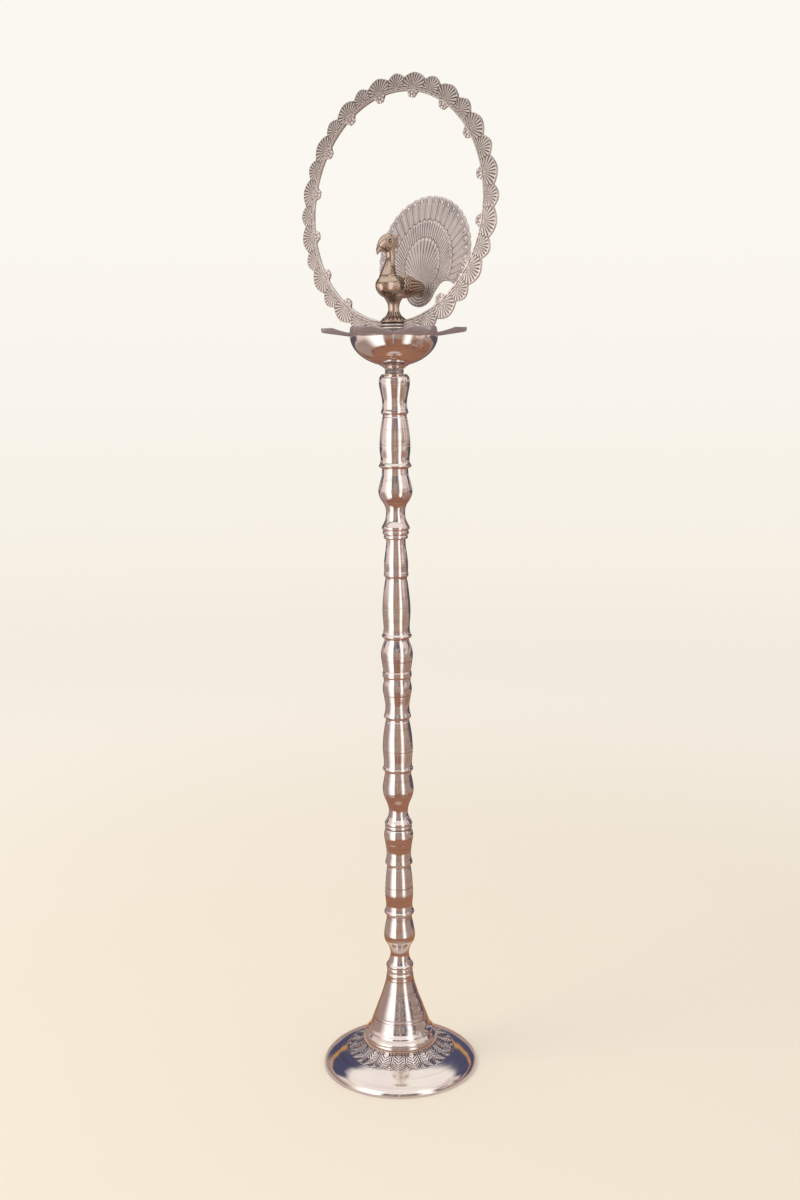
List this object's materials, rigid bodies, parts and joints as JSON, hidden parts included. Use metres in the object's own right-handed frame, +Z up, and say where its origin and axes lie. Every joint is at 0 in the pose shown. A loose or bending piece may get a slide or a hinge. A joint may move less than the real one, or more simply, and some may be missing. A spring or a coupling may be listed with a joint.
{
  "type": "standing oil lamp",
  "caption": "Tall turned brass floor lamp with an oil bowl of pointed wick lips, a peacock with a spread tail and a scalloped ring arch.",
  "frame": {"origin": "centre of the foot's bottom ring, on the floor", "axes": "+Z up along the stem, -Y the way the bird faces, +X to the bird's left"},
  "size_m": [0.331, 0.188, 1.2203],
  "materials": {
    "polished_brass": "polished, pinkish, with soft turning marks",
    "cast_brass": "pale cast relief, brushed bright on the ridges and dark in the recesses",
    "aged_brass": "golden brown antique, rubbed bright on the breast",
    "raw_brass": "matt, as turned"
  },
  "bodies": {
    "foot": {"foot_casting": "polished_brass", "foot_bush": "raw_brass"},
    "stem_1": {"stem_section_1": "polished_brass", "stem_stud_1": "raw_brass", "stem_bush_1": "raw_brass"},
    "stem_2": {"stem_section_2": "polished_brass", "stem_stud_2": "raw_brass", "stem_bush_2": "raw_brass"},
    "stem_3": {"stem_section_3": "polished_brass", "stem_stud_3": "raw_brass", "stem_bush_3": "raw_brass"},
    "stem_4": {"stem_section_4": "polished_brass", "stem_stud_4": "raw_brass", "stem_bush_4": "raw_brass"},
    "bowl": {"bowl_collar": "raw_brass", "oil_bowl": "polished_brass", "centre_post": "raw_brass", "bowl_stud": "raw_brass"},
    "arch": {"arch_ring": "cast_brass"},
    "peacock": {"peacock_body": "aged_brass", "peacock_stud": "raw_brass", "peacock_tail": "cast_brass", "tail_screw": "raw_brass"}
  },
  "joints": [
    {"name": "stem_1_screw", "type": "hinge", "parent": "foot", "child": "stem_1", "pos_m": [0, 0, 0.1172], "axis": [0, 0, 1], "range_deg": [0, 360]},
    {"name": "stem_2_screw", "type": "hinge", "parent": "stem_1", "child": "stem_2", "pos_m": [0, 0, 0.2881], "axis": [0, 0, 1], "range_deg": [0, 360]},
    {"name": "stem_3_screw", "type": "hinge", "parent": "stem_2", "child": "stem_3", "pos_m": [0, 0, 0.4714], "axis": [0, 0, 1], "range_deg": [0, 360]},
    {"name": "stem_4_screw", "type": "hinge", "parent": "stem_3", "child": "stem_4", "pos_m": [0, 0, 0.6454], "axis": [0, 0, 1], "range_deg": [0, 360]},
    {"name": "bowl_screw", "type": "hinge", "parent": "stem_4", "child": "bowl", "pos_m": [0, 0, 0.8484], "axis": [0, 0, 1], "range_deg": [0, 360]},
    {"name": "arch_swivel", "type": "hinge", "parent": "bowl", "child": "arch", "pos_m": [0, 0, 0.8929], "axis": [0, 0, 1], "continuous": true},
    {"name": "peacock_screw", "type": "hinge", "parent": "bowl", "child": "peacock", "pos_m": [0, 0, 0.9102], "axis": [0, 0, 1], "range_deg": [0, 360]}
  ]
}
